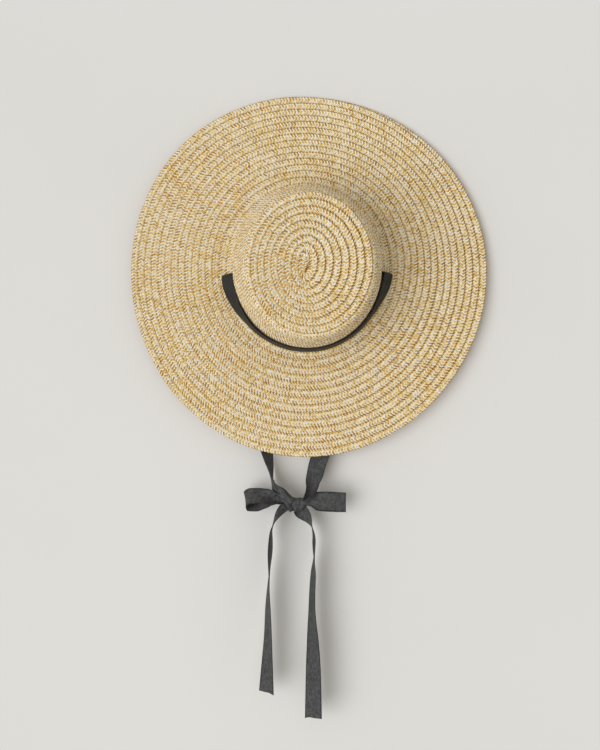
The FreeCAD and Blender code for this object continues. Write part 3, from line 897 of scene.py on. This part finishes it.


def knot_mesh(centre, half):
    """The knot: ribbon wrapped over the bundle from top to bottom, pinched at both sides.
    Its folds fan out upwards."""
    turn = np.linspace(0, TURN, KNOT_ROUNDS, endpoint=False)
    across = np.linspace(-1, 1, KNOT_COLUMNS)
    angle, place = np.meshgrid(turn, across, indexing="ij")
    c, s = np.cos(angle), np.sin(angle)
    pinch = 0.52 + 0.48 * (1 - np.abs(place) ** 2.4) ** 0.6
    fan = place * (1 - 0.34 * s) + 0.16 * s
    folds = (
        0.20 * np.abs(np.sin(4.3 * fan + 0.75)) ** 0.6
        + 0.07 * np.sin(10.5 * fan - 1.1 * c + 2.0)
        + 0.030 * np.sin(3.0 * place + 2.0 * angle)
    )
    # Painted shade in the hollows of the folds, darkened by the ribbon material.
    crease_shade = np.clip(1 - folds / CREASE_DEPTH, 0, 1)
    swell = pinch * (0.87 + folds)
    x = place * half[0] * (1.06 + 0.16 * s) - 1.4
    y = -half[1] * 0.95 * np.sign(c) * np.abs(c) ** KNOT_BOXY * swell
    z = half[2] * 0.96 * np.sign(s) * np.abs(s) ** KNOT_BOXY * swell + 1.8 * place**2 - 0.6 * place
    points = np.stack((x, y, z), -1) + centre
    grid = np.arange(angle.size).reshape(angle.shape)
    following = np.roll(grid, -1, axis=0)
    quads = np.stack((grid[:, :-1], grid[:, 1:], following[:, 1:], following[:, :-1]), -1).reshape(-1, 4)
    attributes = {"cloth": cloth_places(turn * half[2], across * RIBBON_HALF), "crease_shade": crease_shade.ravel()}
    return add_mesh("ribbon_knot", points.reshape(-1, 3), quads, attributes)


# The band across the crown's front: angle in degrees, its foot's distance from the crown's foot in mm, and
# its lean in degrees.
BAND = (
    (186.1, 6.4, 35.0),
    (191.5, 7.0, 37.0),
    (197.0, 6.1, 34.0),
    (203.0, 5.0, 29.0),
    (209.0, 3.8, 23.0),
    (215.0, 2.4, 18.0),
    (221.0, 1.3, 12.5),
    (233.0, 0.9, 8.5),
    (252.0, 0.8, 9.0),
    (283.0, 0.9, 9.0),
    (300.0, 0.9, 7.5),
    (319.0, 0.9, 8.0),
    (331.0, 1.9, 13.0),
    (342.0, 4.7, 22.5),
    (348.0, 6.7, 28.0),
    (354.9, 7.7, 29.0),
)
BAND_CUTS = ((3.5, 0.8, 0.0, 0.5, 4.5), (6.0, 1.5, 0.0, 1.0, 4.0))
BAND_DEPTH = 0.8  # the band's foot lies this far in front of the head opening
BAND_CUP = 0.08
BAND_TURN = ((1.6, 0.9), (2.4, 3.0), (2.6, 8.0))  # how an end goes in through its slit: onwards, inwards
BAND_POINTS = 90


def add_band(material):
    """The ribbon across the front of the crown. Its ends turn in through the slits."""
    degrees, gaps, leans = zip(*BAND)
    angle = np.radians(np.linspace(degrees[0], degrees[-1], BAND_POINTS))
    gap = eased(degrees, gaps, np.degrees(angle))
    lean = np.radians(eased(degrees, leans, np.degrees(angle)))
    outward = np.stack((np.cos(angle), np.zeros(angle.shape), np.sin(angle)), -1)
    foot = side_surface(np.full(angle.shape, BAND_DEPTH), angle) + outward * gap[:, None]
    across = -outward * np.sin(lean)[:, None] + np.array((0, -1.0, 0)) * np.cos(lean)[:, None]
    middle = foot + across * RIBBON_HALF
    ends = []
    for end, beside in ((0, 1), (-1, -2)):
        run = unit(middle[end] - middle[beside])
        inward = np.cross(run, across[end])
        inward = inward * (-1 if inward @ outward[end] > 0 else 1)
        ends.append([middle[end] + run * ahead + inward * deep for ahead, deep in BAND_TURN])
    line = np.concatenate((ends[0][::-1], middle, ends[1]))
    extra = len(BAND_TURN)
    sides = np.concatenate((np.repeat(across[:1], extra, 0), across, np.repeat(across[-1:], extra, 0)))
    steps = lengths_along(line)
    fine, along = resampled(by_axis(eased, steps, line, np.linspace(0, steps[-1], 10 * BAND_POINTS)))
    tangent = unit(np.gradient(fine, axis=0))
    side = square_to(unit(by_axis(straight, steps / steps[-1], sides, along / along[-1])), tangent)
    face = np.cross(side, tangent)
    band = ribbon_mesh("ribbon_band_front", fine, along, side, face, BAND_CUP, BAND_CUTS)
    band.data.materials.append(material)
    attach(band, "hat")
    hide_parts("ribbon_band")


TAPE_POINTS = 1441
TAPE_COLUMNS = 13
TAPE_GAP = SURFACE_INSET + 1.9  # from the side's outer face to the tape's middle
TAPE_HALF_THICK = 0.35
TAPE_RIPPLE = 0.25
TAPE_RIB_PITCH = 1.5
TAPE_RIB_HEIGHT = 0.06
STITCH_EDGE = 3.0  # from the tape's edge
STITCH_PITCH = 5.2
THREAD_RADIUS = 0.25
THREAD_SIDES = 6


def add_sweatband(material, thread):
    """The tape inside the crown's foot and the stitches that hold it."""
    low, high = node_box("sweatband")
    angle = np.linspace(0, TURN, TAPE_POINTS)
    inward = -np.stack((np.cos(angle), np.zeros(TAPE_POINTS), np.sin(angle)), -1)
    gap = TAPE_GAP + TAPE_RIPPLE * np.sin(9 * angle) * np.sin(4 * angle + 1)

    def inside(depth, gap):
        """A line round the inside of the crown."""
        return side_surface(np.full(TAPE_POINTS, depth), angle) + inward * gap[:, None]

    depths = np.linspace(-high[1], -low[1], TAPE_COLUMNS)
    grid = np.stack([inside(depth, gap) for depth in depths], 1)
    along = lengths_along(grid[:, TAPE_COLUMNS // 2])
    ribs = TAPE_RIB_HEIGHT * np.sin(TURN * along / TAPE_RIB_PITCH)
    front = grid + inward[:, None] * (TAPE_HALF_THICK + ribs)[:, None, None]
    back = grid - inward[:, None] * TAPE_HALF_THICK
    ring = np.concatenate((front, back[:, ::-1]), axis=1)
    cloth = cloth_places(along, np.concatenate((depths, depths[::-1])))
    quads = tube_quads(TAPE_POINTS, 2 * TAPE_COLUMNS)
    band = add_mesh("sweatband_tape", ring.reshape(-1, 3), quads, {"cloth": cloth})
    in_and_out = 0.62 + 0.35 * np.tanh(3 * np.sin(TURN * along / STITCH_PITCH))
    middle = inside(-high[1] + STITCH_EDGE, gap + in_and_out)
    other = np.cross(unit(np.gradient(middle, axis=0)), inward)
    turn = np.linspace(0, TURN, THREAD_SIDES, endpoint=False)
    ring = [middle + THREAD_RADIUS * (inward * math.cos(a) + other * math.sin(a)) for a in turn]
    quads = tube_quads(TAPE_POINTS, THREAD_SIDES)
    cloth = cloth_places(along, turn)
    stitches = add_mesh("sweatband_stitches", np.stack(ring, 1).reshape(-1, 3), quads, {"cloth": cloth})
    for piece, node, slot, look in (
        (band, "sweatband", "sweatband", material),
        (stitches, "sweatband_stitching", "thread", thread),
    ):
        piece.data.materials.append(look)
        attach(piece, "hat")
        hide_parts(node)


# ---------------------------------------------------------------- stage and light

WALL_BACK = 25.7
WALL_TILT = 0.042
STAGE_REACH = 6000
FLOOR = -1500
SUN_DIRECTION = (0.68, 1.0, 0.20)
SUN_ANGLE = 48.0


def add_plane(name, material, near, far):
    """A wide plane between two level lines. Each line is given as how far back and how high it is."""
    corners = [(-STAGE_REACH, *near), (STAGE_REACH, *near), (STAGE_REACH, *far), (-STAGE_REACH, *far)]
    plane = add_mesh(name, corners, [(0, 1, 2, 3)], smooth_faces=False)
    plane.data.materials.append(material)
    return plane


def add_stage():
    """A pale wall close behind the hat, seen only from the front, a pale floor and soft daylight."""
    material, tree, shader = new_material("plaster")
    place = add_node(tree, "ShaderNodeTexCoord").outputs["Object"]
    noise = add_node(tree, "ShaderNodeTexNoise", {"Vector": place, "Scale": 2.0, "Detail": 4.0})
    tint = ramp(tree, noise.outputs["Fac"], ((0.3, (0.77, 0.773, 0.775)), (0.7, (0.80, 0.803, 0.805))))
    tree.links.new(tint, shader.inputs["Base Color"])
    shader.inputs["Roughness"].default_value = 0.9
    clear = add_node(tree, "ShaderNodeBsdfTransparent")
    behind = add_node(tree, "ShaderNodeNewGeometry").outputs["Backfacing"]
    path = add_node(tree, "ShaderNodeLightPath").outputs
    lit = weighted_sum(tree, ((path["Is Diffuse Ray"], 1.0), (path["Is Shadow Ray"], 1.0), (behind, 1.0)))
    unseen = add_node(tree, "ShaderNodeMath", {0: lit, 1: 1.0}, operation="MINIMUM").outputs["Value"]
    mix = add_node(tree, "ShaderNodeMixShader", {0: unseen, 1: shader.outputs[0], 2: clear.outputs[0]})
    tree.links.new(mix.outputs[0], tree.nodes["Material Output"].inputs["Surface"])
    low, high = [(WALL_BACK - WALL_TILT * height, height) for height in (FLOOR, STAGE_REACH)]
    wall = add_plane("wall", material, low, high)
    floor = add_plane("floor", material, (-STAGE_REACH, FLOOR), (STAGE_REACH, FLOOR))
    world = bpy.data.worlds.new("world")
    world.use_nodes = True
    background = world.node_tree.nodes["Background"]
    background.inputs["Color"].default_value = (1.0, 0.95, 0.86, 1)
    background.inputs["Strength"].default_value = 0.50
    bpy.context.scene.world = world
    bpy.context.scene.view_settings.view_transform = "Standard"
    sun = bpy.data.lights.new("window", "SUN")
    sun.energy = 1.62
    sun.angle = math.radians(SUN_ANGLE)
    sun.color = (1.0, 1.0, 0.99)
    light = bpy.data.objects.new("window", sun)
    light.rotation_euler = Vector(SUN_DIRECTION).to_track_quat("-Z", "Y").to_euler()
    bpy.context.scene.collection.objects.link(light)


# ---------------------------------------------------------------- the scene

CHARCOAL = ((0.038, 0.0395, 0.042), (0.091, 0.094, 0.100))
SHADED = ((0.011, 0.0115, 0.0115), (0.031, 0.032, 0.032))  # the band: the same grosgrain with painted shade, as it lies in the crown's shade
COTTON = ((0.60, 0.52, 0.40), (0.80, 0.73, 0.60))
THREAD = ((0.62, 0.54, 0.42), (0.82, 0.75, 0.62))

add_camera()
straw = straw_material("straw", 1.0)
straw_edge = straw_material("straw_edge", 1.1)
ribbon = ribbon_material("grosgrain", *CHARCOAL, 0.03)
# A darker copy of the grosgrain: painted shade for the band.
ribbon_shaded = ribbon_material("grosgrain_painted_shade", *SHADED, 0.015)
tape = ribbon_material("cotton_tape", *COTTON, 0.1)
thread = ribbon_material("thread", *THREAD, 0.1)
rows = add_braid({"straw": straw, "straw_edge": straw_edge})
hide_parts("crown_tip")
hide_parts("crown_wall")
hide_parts("brim")
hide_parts("brim_edge")
add_band(ribbon_shaded)
add_sweatband(tape, thread)
free = add_free_ribbons(ribbon)
loop_left, loop_right, knot = add_bow(ribbon)
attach(knot, "tied_ribbon")
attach(loop_left, "loop_left")
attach(loop_right, "loop_right")
for name, (piece, line, length) in free.items():
    if "tie" in name:
        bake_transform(piece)
    else:
        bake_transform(piece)
add_stage()
